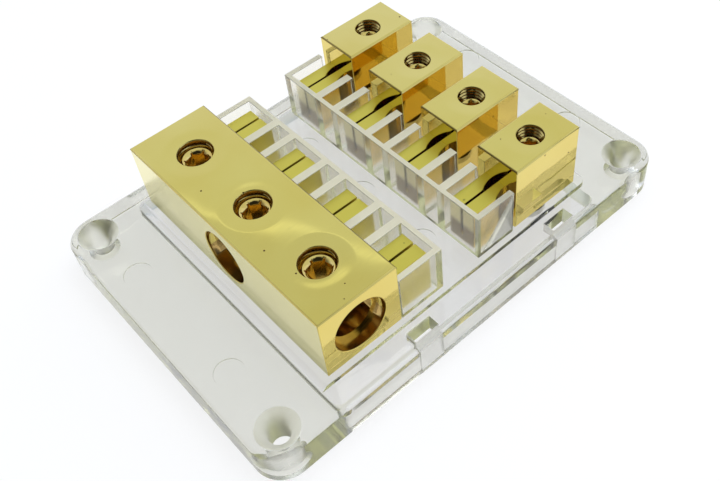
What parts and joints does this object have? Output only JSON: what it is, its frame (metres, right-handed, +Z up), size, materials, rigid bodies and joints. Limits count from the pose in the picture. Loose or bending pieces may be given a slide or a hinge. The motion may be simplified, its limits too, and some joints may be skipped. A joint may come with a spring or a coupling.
{
  "type": "fuse block",
  "caption": "Fuse block: a brass supply bar with clamp-screw cable ports and brass outlet terminals, joined by blade fuse fingers on a clear moulded base with corner mounting holes.",
  "frame": {"origin": "under the middle of the base plate, in the plane it stands on", "axes": "+X from the supply bar to the outlet terminals, +Y along the bar, +Z up"},
  "size_m": [0.1, 0.07, 0.0241],
  "materials": {
    "clear_plastic": "clear, polished mould",
    "brass": "polished",
    "screw_brass": "gilt, turned",
    "fixing_steel": "bright plated"
  },
  "bodies": {
    "block": {"base_plate": "clear_plastic", "supply_bar": "brass", "outlet_terminal_1": "brass", "outlet_terminal_2": "brass", "outlet_terminal_3": "brass", "outlet_terminal_4": "brass", "supply_fixing_screw_1": "fixing_steel", "supply_fixing_screw_2": "fixing_steel", "outlet_fixing_screw_1": "fixing_steel", "outlet_fixing_screw_2": "fixing_steel", "outlet_fixing_screw_3": "fixing_steel", "outlet_fixing_screw_4": "fixing_steel"},
    "supply_screw_1": {"supply_clamp_screw_1": "screw_brass"},
    "supply_screw_2": {"supply_clamp_screw_2": "screw_brass"},
    "supply_screw_3": {"supply_clamp_screw_3": "screw_brass"},
    "outlet_screw_1": {"outlet_clamp_screw_1": "screw_brass"},
    "outlet_screw_2": {"outlet_clamp_screw_2": "screw_brass"},
    "outlet_screw_3": {"outlet_clamp_screw_3": "screw_brass"},
    "outlet_screw_4": {"outlet_clamp_screw_4": "screw_brass"}
  },
  "joints": [
    {"name": "supply_clamp_1", "type": "slide", "parent": "block", "child": "supply_screw_1", "axis": [0, 0, 1], "range_m": [-0.0035, 0.004]},
    {"name": "supply_clamp_2", "type": "slide", "parent": "block", "child": "supply_screw_2", "axis": [0, 0, 1], "range_m": [-0.0035, 0.004]},
    {"name": "supply_clamp_3", "type": "slide", "parent": "block", "child": "supply_screw_3", "axis": [0, 0, 1], "range_m": [-0.0035, 0.004]},
    {"name": "outlet_clamp_1", "type": "slide", "parent": "block", "child": "outlet_screw_1", "axis": [0, 0, 1], "range_m": [-0.0018, 0.0036]},
    {"name": "outlet_clamp_2", "type": "slide", "parent": "block", "child": "outlet_screw_2", "axis": [0, 0, 1], "range_m": [-0.0018, 0.0036]},
    {"name": "outlet_clamp_3", "type": "slide", "parent": "block", "child": "outlet_screw_3", "axis": [0, 0, 1], "range_m": [-0.0018, 0.0036]},
    {"name": "outlet_clamp_4", "type": "slide", "parent": "block", "child": "outlet_screw_4", "axis": [0, 0, 1], "range_m": [-0.0018, 0.0036]}
  ]
}
